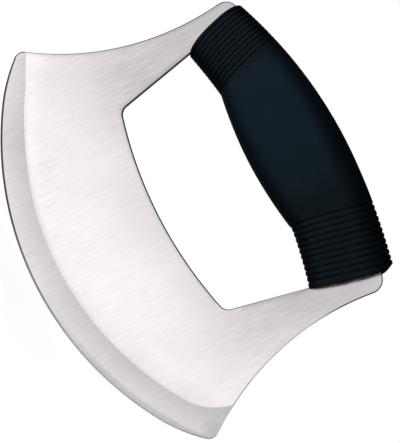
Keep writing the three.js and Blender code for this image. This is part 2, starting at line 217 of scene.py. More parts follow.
# The lens that the grinding wheels leave: rings of the bevel line, the honed line and the edge. The last two
# follow the edge as it sweeps up and rounds the tips. The bevel line drifts off its arc: away from the edge
# on the toe half, by TOE_BOW, toward the edge at the toe's tip, and away from it at the heel's. Where each
# drift starts is in degrees of swing from straight down.
LENS_STEPS = 1440
LENS_PAST = 0.0004
DRIFT_END = 44
TOE_DRIFT_START = -33
TOE_DRIFT = 0.00055
TOE_BOW_START = -9
TOE_BOW = 0.0007
HEEL_DRIFT_START = 33.5
HEEL_DRIFT = 0.00015
TIP_SWING = 0.85
NEAR_TANGENT = 0.97
sweep_way = Vector((tip_at[1] - sweep_centre[1], sweep_centre[0] - tip_at[0])).normalized()
side_way = Vector((tip_at[1] - SIDE_CENTRE[1], SIDE_CENTRE[0] - tip_at[0])).normalized()
tip_angle = sweep_way.angle(side_way)
round_r = TIP_ROUND * tan(tip_angle / 2)
tip_way = -(sweep_way + side_way).normalized()
tip_opening = sin(tip_angle / 2)
round_centre = Vector(tip_at) - tip_way * TIP_ROUND / cos(tip_angle / 2)
bend_spots = [(sweep_centre[0], EDGE_R - sweep_centre[1], SWEEP_R),
              (round_centre.x, EDGE_R - round_centre.y, round_r)]


def bend_in(swing, out):
    """How far the edge has left the cutting arc at a swing from straight down, on a line set out from it."""
    reach = EDGE_R + out
    for x, down, r in bend_spots:
        way, gap = atan2(x, down), hypot(x, down)
        if swing > way:
            turn = min(swing - way, NEAR_TANGENT * asin(min(1, (r + out) / gap)))
            reach = min(reach, gap * cos(turn) + sqrt((r + out) ** 2 - (gap * sin(turn)) ** 2))
    return EDGE_R + out - reach


bm = bmesh.new()
rings = []
for y, share in ((PLATE / 2 + LENS_PAST, -LENS_PAST / (PLATE / 2 - HONE_HALF)), (HONE_HALF, 1)):
    x = BEVEL_SHIFT * (1 - share)
    z = (BEVEL_WIDTH + BEVEL_R) * (1 - share) + EDGE_R * share
    rings.append((x, y, z, BEVEL_R * (1 - share) + (EDGE_R - HONE_WIDTH) * share))
brink = HONE_HALF - (1 + HONE_PAST) * (HONE_HALF - LAND_HALF)
rings.append((0, max(brink, THINNEST_HALF), EDGE_R, EDGE_R + HONE_PAST * HONE_WIDTH))
rings += [(x, -y, z, r) for x, y, z, r in reversed(rings)]
bmesh.ops.create_circle(bm, cap_ends=True, segments=LENS_STEPS, radius=rings[0][3],
                        matrix=Matrix.Translation(rings[0][:3]) @ Matrix.Rotation(pi / 2, 4, "X"))
loop = bm.edges[:]
for (x0, y0, z0, r0), (x1, y1, z1, r1) in zip(rings, rings[1:]):
    grown = bmesh.ops.extrude_edge_only(bm, edges=loop)["geom"]
    verts = [g for g in grown if isinstance(g, bmesh.types.BMVert)]
    loop = [g for g in grown if isinstance(g, bmesh.types.BMEdge)]
    bmesh.ops.scale(bm, verts=verts, vec=(r1 / r0, 1, r1 / r0), space=Matrix.Translation((-x0, -y0, -z0)))
    bmesh.ops.translate(bm, verts=verts, vec=(x1 - x0, y1 - y0, z1 - z0))
bmesh.ops.edgeloop_fill(bm, edges=loop)
for face in bm.faces:
    face.material_index = HONED if max(abs(v.co.y) for v in face.verts) < 1.1 * HONE_HALF else GROUND
for vert in bm.verts:
    if abs(vert.co.y) > PLATE / 2:
        spoke = Vector((vert.co.x - rings[0][0], 0, vert.co.z - rings[0][2]))
        swing = max(-DRIFT_END, min(DRIFT_END, degrees(atan2(spoke.x, -spoke.z))))
        drift = TOE_DRIFT * max(0, TOE_DRIFT_START - swing)
        drift -= HEEL_DRIFT * max(0, swing - HEEL_DRIFT_START) ** 2
        if TOE_DRIFT_START < swing < TOE_BOW_START:
            drift -= TOE_BOW * sin(pi * (swing - TOE_BOW_START) / (TOE_DRIFT_START - TOE_BOW_START)) ** 2
        vert.co += spoke.normalized() * drift
for vert in bm.verts:
    spoke = Vector((vert.co.x, 0, vert.co.z - EDGE_R))
    swing = min(TIP_SWING, abs(atan2(spoke.x, -spoke.z)))
    if abs(vert.co.y) < 0.9 * HONE_HALF:
        vert.co -= spoke.normalized() * bend_in(swing, HONE_PAST * HONE_WIDTH)
    elif abs(vert.co.y) < PLATE / 2:
        others = [e.other_vert(vert).co for e in vert.link_edges]
        above = next(spot for spot in others if abs(spot.y) > PLATE / 2)
        fall = spoke.length - hypot(above.x, above.z - EDGE_R)
        vert.co += (above - vert.co) * bend_in(swing, -HONE_WIDTH) / fall
bmesh.ops.recalc_face_normals(bm, faces=bm.faces[:])
lens_mesh = bpy.data.meshes.new("lens")
bm.to_mesh(lens_mesh)
bm.free()
lens = bpy.data.objects.new("lens", lens_mesh)
bpy.context.scene.collection.objects.link(lens)
for mesh in (plate_mesh, drill_mesh, lens_mesh):
    for _ in range(SHEARED + 1):
        mesh.materials.append(None)
for tool, operation in ((drills, "DIFFERENCE"), (lens, "INTERSECT")):
    cut = blade.modifiers.new(tool.name, "BOOLEAN")
    cut.operation = operation
    cut.solver = "EXACT"
    cut.object = tool
ground = bpy.data.meshes.new_from_object(blade.evaluated_get(bpy.context.evaluated_depsgraph_get()))
blade.modifiers.clear()
blade.data = ground
for tool in (drills, lens):
    bpy.data.objects.remove(tool)
for mesh in (drill_mesh, lens_mesh, plate_mesh):
    bpy.data.meshes.remove(mesh)

# The cut plate is cleaned, and a map across the grain is laid on it that turns the highlights.
GRAIN_MAP = 5
bm = bmesh.new()
bm.from_mesh(ground)
bmesh.ops.remove_doubles(bm, verts=bm.verts[:], dist=1e-7)
bmesh.ops.dissolve_degenerate(bm, edges=bm.edges[:], dist=1e-6)
bmesh.ops.triangulate(bm, faces=[f for f in bm.faces if len(f.verts) > 4])
across_grain = bm.loops.layers.uv.new("across_grain")
for face in bm.faces:
    for spot in face.loops:
        spot[across_grain].uv = (GRAIN_MAP * spot.vert.co.x, GRAIN_MAP * spot.vert.co.z)
for edge in bm.edges:
    edge.smooth = len({f.material_index for f in edge.link_faces}) == 1
for face in bm.faces:
    face.smooth = True
bm.to_mesh(ground)
bm.free()


def linear(code):
    """sRGB hex to linear colour with alpha."""
    parts = [int(code[i:i + 2], 16) / 255 for i in (1, 3, 5)]
    return [c / 12.92 if c <= 0.04045 else ((c + 0.055) / 1.055) ** 2.4 for c in parts] + [1.0]


def add(tree, kind, inputs=None, **settings):
    """Adds a node with its settings, its input values and its links from other nodes' outputs."""
    node = tree.nodes.new(kind)
    for name, value in settings.items():
        setattr(node, name, value)
    for key, value in (inputs or {}).items():
        if isinstance(value, bpy.types.NodeSocket):
            tree.links.new(value, node.inputs[key])
        else:
            node.inputs[key].default_value = value
    return node


MOTTLE_MM = 35
GRAIN_RELIEF = 0.00002
STEEL_ANISOTROPY = 0.4


def steel(name, light, dark, rough, grain_mm, grain_length_mm, bump):
    """Stainless steel with a straight grain up the plate: streaks in the colour, the gloss and the height."""
    material = bpy.data.materials.new(name)
    material.use_nodes = True
    tree = material.node_tree
    shader = tree.nodes["Principled BSDF"]
    place = add(tree, "ShaderNodeTexCoord").outputs["Object"]
    across, along = 1000 / grain_mm, 1000 / grain_length_mm
    fine = add(tree, "ShaderNodeMapping", {"Vector": place, "Scale": (across, across, along)})
    grain = add(tree, "ShaderNodeTexNoise",
                {"Vector": fine.outputs["Vector"], "Scale": 1.0, "Detail": 1.5, "Roughness": 0.5})
    patch = add(tree, "ShaderNodeTexNoise", {"Vector": place, "Scale": 1000 / MOTTLE_MM, "Detail": 2.0})
    both = add(tree, "ShaderNodeMath", {0: grain.outputs["Fac"], 1: patch.outputs["Fac"]}, operation="ADD")
    tone = add(tree, "ShaderNodeMapRange", {"Value": both.outputs[0], "From Min": 0.7, "From Max": 1.3})
    colour = add(tree, "ShaderNodeMix", {"Factor": tone.outputs[0], "A": linear(dark), "B": linear(light)},
                 data_type="RGBA")
    colour.name = "tone"
    tree.links.new(colour.outputs["Result"], shader.inputs["Base Color"])
    gloss = add(tree, "ShaderNodeMapRange", {"Value": grain.outputs["Fac"], "From Min": 0.3, "From Max": 0.7,
                                             "To Min": rough - 0.04, "To Max": rough + 0.05})
    tree.links.new(gloss.outputs[0], shader.inputs["Roughness"])
    relief = add(tree, "ShaderNodeBump",
                 {"Height": grain.outputs["Fac"], "Strength": bump, "Distance": GRAIN_RELIEF})
    tree.links.new(relief.outputs["Normal"], shader.inputs["Normal"])
    shader.inputs["Metallic"].default_value = 1.0
    shader.inputs["Anisotropic"].default_value = STEEL_ANISOTROPY
    grain_way = add(tree, "ShaderNodeTangent", direction_type="UV_MAP", uv_map="across_grain")
    tree.links.new(grain_way.outputs[0], shader.inputs["Tangent"])
    return material


def spoke_from(tree, centre):
    """Vector in the plate's plane from a centre to the shaded point."""
    place = add(tree, "ShaderNodeTexCoord").outputs["Object"]
    spoke = add(tree, "ShaderNodeVectorMath", {0: place, 1: (centre[0], 0, centre[1])}, operation="SUBTRACT")
    flat = add(tree, "ShaderNodeVectorMath", {0: spoke.outputs["Vector"], 1: (1, 0, 1)}, operation="MULTIPLY")
    return flat.outputs["Vector"]


def tone_round(tree, centre, start, end, low, high):
    """Tone that goes from low to high with the distance from a centre in the plate's plane."""
    reach = add(tree, "ShaderNodeVectorMath", {0: spoke_from(tree, centre)}, operation="LENGTH")
    tone = add(tree, "ShaderNodeMapRange", {"Value": reach.outputs["Value"], "From Min": start,
                                            "From Max": end, "To Min": low, "To Max": high})
    return tone.outputs[0]


def tone_along(tree, axis, start, end, low, high):
    """Tone that goes from low to high along one axis of the piece."""
    place = add(tree, "ShaderNodeTexCoord").outputs["Object"]
    spot = add(tree, "ShaderNodeSeparateXYZ", {0: place}).outputs[axis]
    tone = add(tree, "ShaderNodeMapRange", {"Value": spot, "From Min": start, "From Max": end,
                                            "To Min": low, "To Max": high})
    return tone.outputs[0]


def shade(tree, *tones):
    """Scales the steel's colour by each of the tones."""
    colour = tree.nodes["tone"].outputs["Result"]
    for tone in tones:
        scaled = add(tree, "ShaderNodeVectorMath", {0: colour, "Scale": tone}, operation="SCALE")
        colour = scaled.outputs["Vector"]
    tree.links.new(colour, tree.nodes["Principled BSDF"].inputs["Base Color"])


# Stainless steel straight from a belt: pale satin with fine streaks up the plate, 0.8 mm wide here, which
# is coarser than the real ones so that they show. Painted shade darkens the face just above the bevel line,
# over a wider strip and deeper toward the heel, and a painted highlight lifts it toward the toe. Painted
# shade darkens the face along the toe arm's rim and along the window, except at its heel corner. A painted
# highlight brightens the arms' outer sides low down and painted shade dims them higher up; painted shade
# also darkens the heel arm under the grip.
BEVEL_CENTRE = (BEVEL_SHIFT, BEVEL_WIDTH + BEVEL_R)
TOE_TO_HEEL = (-0.05, 0.055)
TOE_FADE = (-0.075, -0.055)
BEVEL_LINE_SHADE_WIDTH = 0.002
HEEL_SHADE_START, HEEL_SHADE_FULL = 0.0085, 0.003
FLOOR_SHADE, SIDE_SHADE, TOE_SHADE = 0.0016, 0.0023, 0.002
ARM_STRIP = (0.004, 0.01)
ARM_HEIGHTS = (0.08, 0.1)
TOE_ARM = (-0.05, -0.03)
GRIP_SHADE_SPOT = (0.053, 0.092)
GRIP_SHADE_REACH = 0.014
UNSHADED_CORNER = (0.0465, 0.064)
UNSHADED_REACH = (0.005, 0.014)

brushed = steel("brushed_stainless_steel", "#f6f0f0", "#e5dfdf",
                rough=0.13, grain_mm=0.8, grain_length_mm=8, bump=0.05)
tree = brushed.node_tree
# Painted shade just above the bevel line, deeper toward the heel, with a painted highlight toward the toe.
depth = add(tree, "ShaderNodeMath", {0: tone_along(tree, "X", *TOE_TO_HEEL, 0.8, 0.9),
                                     1: tone_along(tree, "X", *TOE_FADE, 1.0, 0.8)}, operation="MAXIMUM")
bevel_line_shade = tone_round(tree, BEVEL_CENTRE, BEVEL_R - BEVEL_LINE_SHADE_WIDTH, BEVEL_R, 1.0, depth.outputs[0])
near_bevel = tone_round(tree, BEVEL_CENTRE, BEVEL_R - HEEL_SHADE_START, BEVEL_R - HEEL_SHADE_FULL, 0.0, 1.0)
toward_heel = tone_along(tree, "X", *TOE_TO_HEEL, -0.06, 0.09)
heel_ward_shade = add(tree, "ShaderNodeMath", {0: near_bevel, 1: toward_heel}, operation="MULTIPLY").outputs[0]
above_bevel = add(tree, "ShaderNodeMath", {0: bevel_line_shade, 1: heel_ward_shade}, operation="SUBTRACT").outputs[0]

# Painted shade along the window, left off at its heel corner.
under_window = tone_round(tree, FLOOR_CENTRE, FLOOR_R + EDGE_SOFTENING, FLOOR_R + FLOOR_SHADE, 0.78, 1.0)
place = add(tree, "ShaderNodeTexCoord").outputs["Object"]
either_side = add(tree, "ShaderNodeVectorMath", {0: place}, operation="ABSOLUTE").outputs["Vector"]
outward = add(tree, "ShaderNodeVectorMath", {0: either_side, 1: (1, 0, -WINDOW_SPLAY)},
              operation="DOT_PRODUCT")
wall = WINDOW_HALF - WINDOW_SPLAY * WINDOW_FLOOR
beside_window = add(tree, "ShaderNodeMapRange", {
    "Value": outward.outputs["Value"], "From Min": wall + EDGE_SOFTENING, "From Max": wall + SIDE_SHADE,
    "To Min": 0.8, "To Max": 1.0})
unshaded_corner = tone_round(tree, UNSHADED_CORNER, *UNSHADED_REACH, 1.0, 0.0)
window_shade = add(tree, "ShaderNodeMath", {0: under_window, 1: beside_window.outputs[0]}, operation="MAXIMUM")
window_shade = add(tree, "ShaderNodeMath", {0: window_shade.outputs[0], 1: unshaded_corner}, operation="MAXIMUM")

# Painted highlight low on the arms' outer sides, painted shade higher up and along the toe arm's rim.
side_spot = (SIDE_CENTRE[0], PLATE / 2, SIDE_CENTRE[1])
from_side = add(tree, "ShaderNodeVectorMath", {0: either_side, 1: side_spot}, operation="DISTANCE")
arm_side_painted_light = add(tree, "ShaderNodeMapRange", {
    "Value": from_side.outputs["Value"], "From Min": SIDE_R + ARM_STRIP[0], "From Max": SIDE_R + ARM_STRIP[1],
    "To Min": tone_along(tree, "Z", *ARM_HEIGHTS, 1.08, 0.97), "To Max": 1.0})
toe_rim_shade = add(tree, "ShaderNodeMapRange", {
    "Value": from_side.outputs["Value"], "From Min": SIDE_R + EDGE_SOFTENING, "From Max": SIDE_R + TOE_SHADE,
    "To Min": 0.82, "To Max": 1.0})
off_toe = tone_along(tree, "X", *TOE_ARM, 0.0, 1.0)
toe_rim_shade = add(tree, "ShaderNodeMath", {0: toe_rim_shade.outputs[0], 1: off_toe}, operation="MAXIMUM")
# Painted shade on the heel arm under the grip.
grip_shade = tone_round(tree, GRIP_SHADE_SPOT, 0.0, GRIP_SHADE_REACH, 0.82, 1.0)
shade(tree, above_bevel, window_shade.outputs[0], arm_side_painted_light.outputs[0], toe_rim_shade.outputs[0], grip_shade)
ground.materials[BRUSHED] = brushed

# The wheel-ground bevel is smoother, and painted a shade darker as a painted reflection, most of all along
# the line where it starts. Toward the heel its last 3 mm have been honed grey, and painted shade darkens the
# whole bevel toward the heel. It is also darker at the heel's tip and in a patch near the toe. The dark honed
# line goes on round the toe's tip, painted dark as painted shade.
EDGE_CENTRE = (0, EDGE_R)
WORN_START, WORN_FULL = 0.0033, 0.002
WORN_STRETCH = (0.005, 0.045)
BEVEL_HEEL_SHADE_STRETCH = (0.0, 0.045)
HEEL_TIP = (0.086, 0.037)
HEEL_TIP_REACH = (0.001, 0.006)
TOE_PATCH = (-0.055, 0.021)
TOE_PATCH_REACH = (0.004, 0.02)
TOE_ROUND_CENTRE = (-round_centre.x, round_centre.y)
TIP_LINE_START, TIP_LINE_FULL = 0.0007, 0.0004

wheel_ground = steel("ground_stainless_steel", "#d5d1d2", "#c7c3c4",
                     rough=0.2, grain_mm=0.7, grain_length_mm=8, bump=0.1)
tree = wheel_ground.node_tree
# Painted reflection: the bevel darker toward its line and toward the heel; the heel's last 3 mm honed grey.
painted_reflection_and_wear = tone_round(tree, EDGE_CENTRE, EDGE_R - BEVEL_WIDTH, EDGE_R - WORN_FULL, 0.88, 1.08)
band = tone_round(tree, EDGE_CENTRE, EDGE_R - WORN_START, EDGE_R - WORN_FULL, 0.0, 0.26)
worn = add(tree, "ShaderNodeMath", {0: band, 1: tone_along(tree, "X", *WORN_STRETCH, 0.0, 1.0)},
           operation="MULTIPLY")
painted_reflection_and_wear = add(tree, "ShaderNodeMath", {0: painted_reflection_and_wear, 1: worn.outputs[0]}, operation="SUBTRACT").outputs[0]
bevel_heel_shade = tone_along(tree, "X", *BEVEL_HEEL_SHADE_STRETCH, 1.03, 0.94)
heel_tip = tone_round(tree, HEEL_TIP, *HEEL_TIP_REACH, 0.82, 1.0)
toe_patch = tone_round(tree, TOE_PATCH, *TOE_PATCH_REACH, 0.92, 1.0)
# The honed line round the toe's tip, painted dark as painted shade.
tip_hone_shade = tone_round(tree, TOE_ROUND_CENTRE, round_r - TIP_LINE_START, round_r - TIP_LINE_FULL, 1.0, 0.1)
way = add(tree, "ShaderNodeVectorMath", {0: spoke_from(tree, TOE_ROUND_CENTRE)}, operation="NORMALIZE")
toward = add(tree, "ShaderNodeVectorMath", {0: way.outputs["Vector"], 1: (-tip_way.x, 0, tip_way.y)},
             operation="DOT_PRODUCT")
past_tip = add(tree, "ShaderNodeMath", {0: toward.outputs["Value"], 1: tip_opening}, operation="LESS_THAN")
tip_hone_shade = add(tree, "ShaderNodeMath", {0: tip_hone_shade, 1: past_tip.outputs[0]}, operation="MAXIMUM").outputs[0]
shade(tree, painted_reflection_and_wear, bevel_heel_shade, heel_tip, toe_patch, tip_hone_shade)
ground.materials[GROUND] = wheel_ground

# The honed line is painted bright toward the heel and dark toward the toe, a painted reflection.
HONE_SHADE_STRETCH = (-0.03, 0.03)

honed = steel("honed_stainless_steel", "#a09c9d", "#8e8a8b",
              rough=0.3, grain_mm=0.5, grain_length_mm=6, bump=0.2)
# Painted reflection: dark toward the toe, bright toward the heel.
shade(honed.node_tree, tone_along(honed.node_tree, "X", *HONE_SHADE_STRETCH, 0.2, 1.15))
ground.materials[HONED] = honed

# The rims are rounded by tumbling and painted dark as painted shade, with painted highlights on those below
# the heel arm's end and beside the toe's tip. Painted shade makes the sheared wall between them nearly black.
TOE_RIM_HIGHLIGHT = (-0.082, -0.066)
HEEL_RIM_HIGHLIGHT = (0.035, 0.055)
RIM_HIGHLIGHT_TOP = (0.09, 0.105)

rim_light_and_shade = steel("rim_stainless_steel_painted_light", "#b4b0b1", "#9a9697",
                rough=0.35, grain_mm=0.6, grain_length_mm=4, bump=0.2)
tree = rim_light_and_shade.node_tree
# Painted highlights near the toe's tip and below the heel arm's end, on rims painted dark as shade.
toe = tone_along(tree, "X", *TOE_RIM_HIGHLIGHT, 1.2, 0.1)
heel = tone_along(tree, "X", *HEEL_RIM_HIGHLIGHT, 0.1, 1.7)
below = tone_along(tree, "Z", *RIM_HIGHLIGHT_TOP, 1.7, 0.15)
heel = add(tree, "ShaderNodeMath", {0: heel, 1: below}, operation="MINIMUM").outputs[0]
shade(tree, add(tree, "ShaderNodeMath", {0: toe, 1: heel}, operation="MAXIMUM").outputs[0])
ground.materials[ROUNDED_RIM] = rim_light_and_shade
# Painted shade: the sheared wall nearly black.
ground.materials[SHEARED] = steel("sheared_stainless_steel_painted_shade", "#343132", "#232122",
                                  rough=0.5, grain_mm=0.6, grain_length_mm=4, bump=0.4)
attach(blade, "root")
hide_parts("blade")


# Grip sleeve. Soft rubber moulded over the hard core: a smooth swollen belly between two ribbed ends, the
# toe end slimmer with finer ribs. One closed skin: outside, end faces, plate slots and hollow.
GRIP_HALF = 0.05725
GRIP_TOP = 0.0187
GRIP_BOTTOM = 0.0149
GRIP_DEPTH = 0.0112
BELLY_HALF = 0.0332
BELLY_SHIFT = -0.0014
BELLY_DROP = 0.0049
BELLY_SWELL = 0.0025
TOE_START = 0.015
TOE_FALL = 0.0033
TOE_LIFT = 0.0012
TOE_LEAN = radians(-1)
HEEL_START = 0.015
HEEL_RISE = 0.0005
HEEL_OVERHANG = 0.0007
HEEL_END = GRIP_HALF + HEEL_OVERHANG
HEEL_LEAN = radians(-1.2)
END_BOW = 0.0009
HEEL_TRIM = 0.0017
HEEL_TRIM_HEIGHT = 0.005
SECTION_POWER = 2.5
SECTION_POINTS = 96
RIM_ROUND = 0.0006
TOE_RIBS = dict(end=-GRIP_HALF, lean=TOE_LEAN, grooves=11, pitch=0.00186, first=0.00165, depth=0.0006,
                angle=radians(17.1), drop=0)
HEEL_RIBS = dict(end=HEEL_END, lean=HEEL_LEAN, grooves=11, pitch=0.00235, first=0.0026, depth=0.00065,
                 angle=radians(14.5), drop=radians(2.5))
TOE_GROOVE = ((0, 1), (0.07, 0.8), (0.13, 0.3), (0.19, 0.08), (0.35, 0),
              (0.5, 0), (0.65, 0), (0.81, 0.08), (0.87, 0.3), (0.93, 0.8))
HEEL_GROOVE = ((0, 1), (0.05, 0.72), (0.11, 0.45), (0.2, 0.2), (0.34, 0.05),
               (0.5, 0), (0.66, 0.05), (0.8, 0.2), (0.89, 0.45), (0.95, 0.72))
BELLY_STEPS = 40
HOLLOW_STEPS = 24
WALL = 0.0032
END_WALL = 0.0034
SLOT_CLEAR = 0.0003
SHARP_ANGLE = radians(60)


def bulge(v):
    """Sine or cosine swollen to the grip's squarer section."""
    return (1 if v > 0 else -1) * abs(v) ** (2 / SECTION_POWER)


def grip_size(along, inset):
    """Top, bottom and half depth of the grip at a distance along the arc, set in all round."""
    belly = max(0, 1 - ((along - BELLY_SHIFT) / BELLY_HALF) ** 2)
    toe = max(0, (TOE_START - along) / (TOE_START + GRIP_HALF)) ** 2
    heel = max(0, (along - HEEL_START) / (GRIP_HALF - HEEL_START)) ** 2
    top = GRIP_TOP - TOE_FALL * toe + HEEL_RISE * heel - inset
    bottom = -GRIP_BOTTOM - BELLY_DROP * belly + TOE_LIFT * toe + inset
    return top, bottom, GRIP_DEPTH + BELLY_SWELL * belly - inset


def grip_section(along, inset, lean=0.0):
    """Ring round the grip at a distance along the arc, set in all round, in a plane that leans."""
    share = along / GRIP_HALF
    bow = END_BOW * share * abs(share)
    trim = HEEL_TRIM * max(0, share) ** 4
    top, bottom, _ = grip_size(along, inset)
    points = []
    for i in range(SECTION_POINTS):
        a = 2 * pi * i / SECTION_POINTS
        rise, depth = bulge(sin(a)), bulge(cos(a))
        shift = tan(lean) * ((top + bottom) / 2 + (top - bottom) / 2 * rise)
        high, low, deep = grip_size(along + shift, inset)
        height = (high + low) / 2 + (high - low) / 2 * rise
        corner = max(0, 1 - (high - height) / HEEL_TRIM_HEIGHT)
        points.append(on_arch(along + shift + bow * depth ** 2 - trim * corner ** 2, height, deep * depth))
    return points


def slot_section(along):
    """Mouth of the slot that the plate's bar passes through."""
    tall = ARCH_R - BAR_UNDER_R + SLOT_CLEAR
    thick = PLATE / 2 + SLOT_CLEAR
    points = []
    for i in range(SECTION_POINTS):
        a = 2 * pi * i / SECTION_POINTS
        square = max(abs(cos(a)), abs(sin(a)))
        points.append(on_arch(along, tall * sin(a) / square, thick * cos(a) / square))
    return points


def rib_rows(end, lean, grooves, pitch, first, depth, angle, drop, profile):
    """Rows of a ribbed end from the rim inward: turned rim, then ribs. A row is (distance, depth, lean)."""
    side = 1 if end > 0 else -1
    rows = []
    for a in (0, pi / 6, pi / 3, pi / 2):
        rows.append((end - side * RIM_ROUND * (1 - cos(a)), RIM_ROUND * (1 - sin(a)), lean))
    for turn, share in [(i + t, share) for i in range(-1, grooves) for t, share in profile]:
        inward = first + pitch * turn
        if -0.5 <= turn <= grooves - 0.5 and inward > 2 * RIM_ROUND:
            along = end - side * inward
            tilt = angle - drop * turn / (grooves - 1)
            rows.append((along, depth * share, side * tilt - along / ARCH_R))
    return rows


toe_rows = rib_rows(**TOE_RIBS, profile=TOE_GROOVE)
heel_rows = rib_rows(**HEEL_RIBS, profile=HEEL_GROOVE)[::-1]
(start, _, start_lean), (end, _, end_lean) = toe_rows[-1], heel_rows[0]
belly_rows = []
for i in range(1, BELLY_STEPS):
    belly_rows.append((start + (end - start) * i / BELLY_STEPS, 0,
                       start_lean + (end_lean - start_lean) * i / BELLY_STEPS))
hollow = GRIP_HALF - END_WALL
sections = [grip_section(*row) for row in toe_rows + belly_rows + heel_rows]
sections += [slot_section(HEEL_END), slot_section(hollow)]
sections += [grip_section(hollow * (1 - 2 * i / HOLLOW_STEPS), WALL) for i in range(HOLLOW_STEPS + 1)]
sections += [slot_section(-hollow), slot_section(-GRIP_HALF)]

bm = bmesh.new()
bmesh.ops.create_circle(bm, segments=SECTION_POINTS, radius=GRIP_DEPTH)
bm.verts.ensure_lookup_table()
rise = bm.verts.layers.float.new("rise")
row = bm.verts[:]
first_loop = loop = bm.edges[:]
for i, (vert, place) in enumerate(zip(row, sections[0])):
    vert.co = place
    vert[rise] = bulge(sin(2 * pi * i / SECTION_POINTS))
for section in sections[1:]:
    grown = bmesh.ops.extrude_edge_only(bm, edges=loop)["geom"]
    fresh = {g for g in grown if isinstance(g, bmesh.types.BMVert)}
    loop = [g for g in grown if isinstance(g, bmesh.types.BMEdge)]
    row = [next(e.other_vert(v) for e in v.link_edges if e.other_vert(v) in fresh) for v in row]
    for i, (vert, place) in enumerate(zip(row, section)):
        vert.co = place
        vert[rise] = bulge(sin(2 * pi * i / SECTION_POINTS))
bmesh.ops.bridge_loops(bm, edges=loop + first_loop)
bmesh.ops.recalc_face_normals(bm, faces=bm.faces[:])
sleeve_mesh = bpy.data.meshes.new("grip_sleeve")
bm.to_mesh(sleeve_mesh)
bm.free()
sleeve_mesh.shade_smooth()
sleeve_mesh.set_sharp_from_angle(angle=SHARP_ANGLE)
sleeve = bpy.data.objects.new("soft_sleeve", sleeve_mesh)
bpy.context.scene.collection.objects.link(sleeve)

# Moulded soft-touch rubber: nearly black with a cold cast, and so matt that it shows almost no highlight.
# The mould's fine spark grain, about 0.4 mm, breaks the light up. The ribs are greyer and a little darker
# than the belly. Painted shade darkens the crown and the underside against the front, the crown from lower
# down toward the heel.
SPARK_MM = 0.4
BLOOM_MM = 14
SPARK_RELIEF = 0.00004
TOE_BORDER = (-0.037, -0.031)
HEEL_BORDER = (0.034, 0.004)
CROWN_STRETCH = (-0.05, 0.05)

rubber = bpy.data.materials.new("soft_touch_rubber")
rubber.use_nodes = True
tree = rubber.node_tree
shader = tree.nodes["Principled BSDF"]
place = add(tree, "ShaderNodeTexCoord").outputs["Object"]
spark = add(tree, "ShaderNodeTexNoise", {"Vector": place, "Scale": 1000 / SPARK_MM, "Detail": 3.0})
bloom = add(tree, "ShaderNodeTexNoise",
            {"Vector": place, "Scale": 1000 / BLOOM_MM, "Detail": 3.0, "Roughness": 0.6})
tone = add(tree, "ShaderNodeMapRange", {"Value": bloom.outputs["Fac"], "From Min": 0.35, "From Max": 0.65})
ribs = add(tree, "ShaderNodeMix",
           {"Factor": tone.outputs[0], "A": linear("#12191d"), "B": linear("#151c21")}, data_type="RGBA")
belly = add(tree, "ShaderNodeMix",
            {"Factor": tone.outputs[0], "A": linear("#131e25"), "B": linear("#152129")}, data_type="RGBA")
smooth = add(tree, "ShaderNodeMath", {0: tone_along(tree, "X", *TOE_BORDER, 0.0, 1.0),
                                      1: tone_along(tree, "X", *HEEL_BORDER, 0.0, 1.0)}, operation="MULTIPLY")
colour = add(tree, "ShaderNodeMix",
             {"Factor": smooth.outputs[0], "A": ribs.outputs["Result"], "B": belly.outputs["Result"]},
             data_type="RGBA")
round_up = add(tree, "ShaderNodeAttribute", attribute_name="rise").outputs["Fac"]
# Painted shade on the crown and the underside.
crown_shade = add(tree, "ShaderNodeMapRange", {
    "Value": round_up, "From Min": tone_along(tree, "X", *CROWN_STRETCH, 0.5, 0.32),
    "From Max": tone_along(tree, "X", *CROWN_STRETCH, 0.8, 0.7), "To Min": 1.0, "To Max": 0.36})
underside_shade = add(tree, "ShaderNodeMapRange",
            {"Value": round_up, "From Min": -0.92, "From Max": -0.66, "To Min": 0.42, "To Max": 1.0})
painted_shade = add(tree, "ShaderNodeMath", {0: crown_shade.outputs[0], 1: underside_shade.outputs[0]}, operation="MULTIPLY")
toned = add(tree, "ShaderNodeVectorMath", {0: colour.outputs["Result"], "Scale": painted_shade.outputs[0]},
            operation="SCALE")
tree.links.new(toned.outputs["Vector"], shader.inputs["Base Color"])
gloss = add(tree, "ShaderNodeMapRange", {"Value": spark.outputs["Fac"], "From Min": 0.3, "From Max": 0.7,
                                         "To Min": 0.62, "To Max": 0.78})
tree.links.new(gloss.outputs[0], shader.inputs["Roughness"])
relief = add(tree, "ShaderNodeBump",
             {"Height": spark.outputs["Fac"], "Strength": 0.2, "Distance": SPARK_RELIEF})
tree.links.new(relief.outputs["Normal"], shader.inputs["Normal"])
shader.inputs["IOR"].default_value = 1.5
shader.inputs["Specular IOR Level"].default_value = 0.004
sleeve_mesh.materials.append(rubber)
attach(sleeve, "root")
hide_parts("grip_sleeve")


# Core halves. Two hard moulded shells that close on the bar inside the sleeve, hollow between the
# screw bosses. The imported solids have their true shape, so they stay and take the finish.
FLOW_MM = 6
PITTING_MM = 0.6
PITTING_RELIEF = 0.00005

